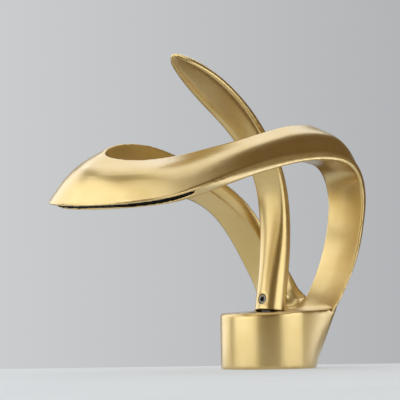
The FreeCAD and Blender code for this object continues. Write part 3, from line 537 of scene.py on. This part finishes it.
# %% Grub screw with a hexagon socket
LEVER_LEAN = math.radians(-10.0)
PIVOT = Vector((0.0, 0.0, 21.0)) * MM
SCREW_HEIGHT = 14.4 * MM
SCREW_BACK = 2.9 * MM
SCREW_LENGTH = 4.0 * MM
SCREW_RADIUS = 2.42 * MM
SCREW_SIDES = 48
SCREW_BEVEL = 0.3 * MM
SOCKET_LAND = 0.25 * MM
SOCKET_RADIUS = 1.5 * MM
SOCKET_DEPTH = 2.0 * MM
SOCKET_SECTOR = math.radians(60)


def hexagon_reach(angle):
    """The distance from the socket's middle to its outline, at an angle."""
    from_middle = angle % SOCKET_SECTOR - SOCKET_SECTOR / 2
    return SOCKET_RADIUS * math.cos(SOCKET_SECTOR / 2) / math.cos(from_middle)


def highest_round_face(skin):
    """The highest of the faces that have as many corners as the screw has sides."""
    round_faces = [face for face in skin.faces if len(face.verts) == SCREW_SIDES]
    return max(round_faces, key=lambda face: face.calc_center_median().z)


def grub_screw():
    """A rod of steel with a bevelled rim and a sunk hexagon, in its place in the lever."""
    metal = bmesh.new()
    bmesh.ops.create_circle(metal, cap_ends=True, segments=SCREW_SIDES, radius=SCREW_RADIUS)
    grown = bmesh.ops.extrude_face_region(metal, geom=metal.faces[:])
    bmesh.ops.translate(metal, verts=new_vertices(grown), vec=(0, 0, SCREW_LENGTH))
    bmesh.ops.bevel(metal, geom=highest_round_face(metal).edges[:], offset=SCREW_BEVEL,
                    offset_type="OFFSET", segments=3, profile=0.5, affect="EDGES", material=-1)
    lid = highest_round_face(metal)
    bmesh.ops.inset_individual(metal, faces=[lid], thickness=SOCKET_LAND, depth=0.0)
    for vertex in lid.verts:
        pull(vertex, hexagon_reach)
    sunk = bmesh.ops.extrude_face_region(metal, geom=[lid])
    bmesh.ops.translate(metal, verts=new_vertices(sunk), vec=(0, 0, -SOCKET_DEPTH))
    bmesh.ops.delete(metal, geom=[lid], context="FACES")
    bmesh.ops.recalc_face_normals(metal, faces=metal.faces)
    in_lever = Matrix.Translation(PIVOT) @ Matrix.Rotation(LEVER_LEAN, 4, "X")
    out_of_front = Matrix.Rotation(math.radians(90), 4, "X")
    place = in_lever @ Matrix.Translation((0, -SCREW_BACK, SCREW_HEIGHT)) @ out_of_front
    bmesh.ops.transform(metal, matrix=place, verts=metal.verts)
    return new_piece("socket_grub_screw", metal)


screw = grub_screw()
# Mid grey instead of black: a painted highlight for the bright gleam in the socket.
blackened_screw_painted_highlight = turned_metal("blackened_screw_painted_highlight", "807C76", 0.35, 0.4)
finish_piece(screw, "lever", blackened_screw_painted_highlight, "handle_grub_screw")

# %% [markdown]
# ## The stage
# The faucet stands on a pale glazed deck, 20 mm thick, that ends a little behind it, as a
# basin's rim does. A plane would do for the picture, but the stud and the clamp hang below
# the deck, so it is a slab with a real tap hole: the hole's edge is pulled out to the
# slab's outline, and the ring is given its thickness. The deck has to look evenly pale
# without more light on the faucet. So half of what camera, glossy and transmission rays see
# of it is a plain glow in the glaze's colour, and the other half keeps the faucet's shadow.
# Diffuse rays don't see the glow.

# %% Glaze
GLAZE_WAVE = 60 * MM
GLAZE_DARK = "D9DCDE"
GLAZE_LIGHT = "DEE1E3"
GLAZE_ROUGHNESS = 0.6
GLOW_COLOUR = "DCE0E3"
DECK_GLOW = 0.5


def glazed_deck():
    """White sanitary glaze with faint waves of tone, and a glow for the rays that look at it."""
    material, tree, shader = new_material("white_glaze")
    place = add_node(tree, "ShaderNodeTexCoord").outputs["Object"]
    wave = add_node(tree, "ShaderNodeTexNoise", Vector=place, Scale=1 / GLAZE_WAVE, Detail=1.0)
    tone = add_node(tree, "ShaderNodeValToRGB", Fac=wave.outputs["Fac"],
                    stops=((0.3, screen_colour(GLAZE_DARK)), (0.7, screen_colour(GLAZE_LIGHT))))
    tree.links.new(tone.outputs["Color"], shader.inputs["Base Color"])
    shader.inputs["Roughness"].default_value = GLAZE_ROUGHNESS
    rays = add_node(tree, "ShaderNodeLightPath").outputs
    mirrored = add_node(tree, "ShaderNodeMath", {"operation": "MAXIMUM"},
                        _0=rays["Is Glossy Ray"], _1=rays["Is Transmission Ray"])
    seen = add_node(tree, "ShaderNodeMath", {"operation": "MAXIMUM"},
                    _0=rays["Is Camera Ray"], _1=mirrored.outputs["Value"])
    share = add_node(tree, "ShaderNodeMath", {"operation": "MULTIPLY"},
                     _0=seen.outputs["Value"], _1=DECK_GLOW)
    glow = add_node(tree, "ShaderNodeEmission", Color=screen_colour(GLOW_COLOUR), Strength=1.0)
    both = add_node(tree, "ShaderNodeMixShader", _0=share.outputs["Value"],
                    _1=shader.outputs["BSDF"], _2=glow.outputs["Emission"])
    output = next(node for node in tree.nodes if node.type == "OUTPUT_MATERIAL")
    tree.links.new(both.outputs["Shader"], output.inputs["Surface"])
    return material


# %% Deck with a tap hole
DECK_THICKNESS = 20 * MM
DECK_FRONT = 620 * MM
DECK_BACK = 95 * MM
DECK_HALF_WIDTH = 800 * MM
TAP_HOLE_RADIUS = 17.5 * MM
TAP_HOLE_SIDES = 64
ALMOST_NOTHING = 1e-6


def deck_reach(angle):
    """The distance from the tap hole's axis to the deck's outline, at an angle."""
    depth = DECK_FRONT if math.sin(angle) < 0 else DECK_BACK
    return min(DECK_HALF_WIDTH / max(abs(math.cos(angle)), ALMOST_NOTHING),
               depth / max(abs(math.sin(angle)), ALMOST_NOTHING))


def deck_slab():
    """A slab, square to the camera, with a round hole."""
    slab = bmesh.new()
    bmesh.ops.create_circle(slab, segments=TAP_HOLE_SIDES, radius=TAP_HOLE_RADIUS)
    outer = bmesh.ops.extrude_edge_only(slab, edges=slab.edges[:])
    for vertex in new_vertices(outer):
        pull(vertex, deck_reach)
    bmesh.ops.transform(slab, matrix=Matrix.Rotation(CAMERA_TURN, 4, "Z"), verts=slab.verts)
    lower = bmesh.ops.extrude_face_region(slab, geom=slab.faces[:])
    bmesh.ops.translate(slab, verts=new_vertices(lower), vec=(0, 0, -DECK_THICKNESS))
    bmesh.ops.recalc_face_normals(slab, faces=slab.faces)
    return new_piece("deck", slab)


deck = deck_slab()
deck.data.materials.append(glazed_deck())

# %% [markdown]
# ## Light
# The gleam on a satin metal is a blurred picture of what stands round it, so each bright
# band needs something bright to mirror. A picture of a real studio could be wrapped round
# the scene, but soft boxes can be moved one at a time. Three stand on the left, two on the
# right and two above. The ones level with the faucet, left and right, give the foot its two
# bright bands with a darker one between them. The small box low on the right looks up past
# the deck's back edge and lights the strip under the right arm.

# %% Soft boxes
LAMP_WHITE = (0.88, 0.94, 1.0)
LAMP_TARGET = Vector((0, -40, 80)) * MM
LAMP_DISTANCE = 1.2


def soft_box(name, turn, rise, width, height, brightness, distance=LAMP_DISTANCE):
    """An area light that faces the faucet.

    Its turn is counted from the camera to the right. Turn and rise are in degrees, and the
    sizes are in metres.
    """
    towards = direction(CAMERA_TURN + math.radians(turn), math.radians(rise))
    lamp = bpy.data.lights.new(name, "AREA")
    lamp.shape = "RECTANGLE"
    lamp.size = width
    lamp.size_y = height
    lamp.energy = brightness * math.pi * width * height
    lamp.color = LAMP_WHITE
    holder = bpy.data.objects.new(name, lamp)
    holder.visible_camera = False
    scene.collection.objects.link(holder)
    facing = towards.to_track_quat("Z", "Y").to_matrix().to_4x4()
    holder.matrix_world = Matrix.Translation(LAMP_TARGET + towards * distance) @ facing
    print("%-15s %5.2f W" % (name, lamp.energy))


soft_box("left_front_box", turn=-60, rise=4, width=1.5, height=0.9, brightness=1.95)
soft_box("left_high_box", turn=-66, rise=48, width=1.4, height=0.8, brightness=1.6)
soft_box("left_back_box", turn=-128, rise=18, width=1.0, height=1.2, brightness=1.5)
soft_box("right_box", turn=62, rise=4, width=1.3, height=0.9, brightness=1.9)
soft_box("right_low_box", turn=112, rise=-13, width=0.3, height=0.14, brightness=2.6, distance=0.6)
soft_box("top_front_box", turn=20, rise=68, width=1.1, height=0.8, brightness=1.3)
soft_box("top_back_box", turn=178, rise=55, width=1.1, height=1.1, brightness=1.25)

# %% [markdown]
# ## The room and the wall
# Where no soft box stands, the metal mirrors the room. A grey room would do for white
# ceramic, but it would turn the gold's shaded faces cold, so this one is a dim, warm brown.
# It fades to grey straight behind the faucet, where the wall is. The camera itself sees
# only that wall, a plain grey that is lighter on the left.

# %% Studio world
ROOM_COLOUR = "6E5A3A"
MIRRORED_WALL = "B4B5B6"
WALL_FADE_END = math.cos(math.radians(24))
WALL_FADE_START = math.cos(math.radians(12))
WALL_RIGHT = "ADAFB2"
WALL_LEFT = "CFD1D2"
WALL_HALF_WIDTH = 0.14


def studio_world():
    """A dim brown room with a grey wall behind the faucet."""
    world = bpy.data.worlds.new("studio")
    world.use_nodes = True
    tree = world.node_tree
    tree.nodes.clear()
    place = add_node(tree, "ShaderNodeTexCoord").outputs["Generated"]
    left = add_node(tree, "ShaderNodeVectorMath", {"operation": "DOT_PRODUCT"},
                    _0=place, _1=tuple(-level_right))
    behind = add_node(tree, "ShaderNodeVectorMath", {"operation": "DOT_PRODUCT"},
                      _0=place, _1=tuple(-backwards))
    leftness = add_node(tree, "ShaderNodeMapRange", Value=left.outputs["Value"],
                        From_Min=-WALL_HALF_WIDTH, From_Max=WALL_HALF_WIDTH)
    wall = add_node(tree, "ShaderNodeValToRGB", Fac=leftness.outputs["Result"],
                    stops=((0.0, screen_colour(WALL_RIGHT)), (1.0, screen_colour(WALL_LEFT))))
    room = add_node(tree, "ShaderNodeValToRGB", Fac=behind.outputs["Value"],
                    stops=((WALL_FADE_END, screen_colour(ROOM_COLOUR)),
                           (WALL_FADE_START, screen_colour(MIRRORED_WALL))))
    rays = add_node(tree, "ShaderNodeLightPath").outputs
    mixed = add_node(tree, "ShaderNodeMix", {"data_type": "RGBA"}, _0=rays["Is Camera Ray"],
                     _6=room.outputs["Color"], _7=wall.outputs["Color"])
    surface = add_node(tree, "ShaderNodeBackground", Color=mixed.outputs[2], Strength=1.0)
    add_node(tree, "ShaderNodeOutputWorld", Surface=surface.outputs["Background"])
    return world


scene.world = studio_world()
scene.view_settings.view_transform = "Standard"
print("world nodes:", len(scene.world.node_tree.nodes))
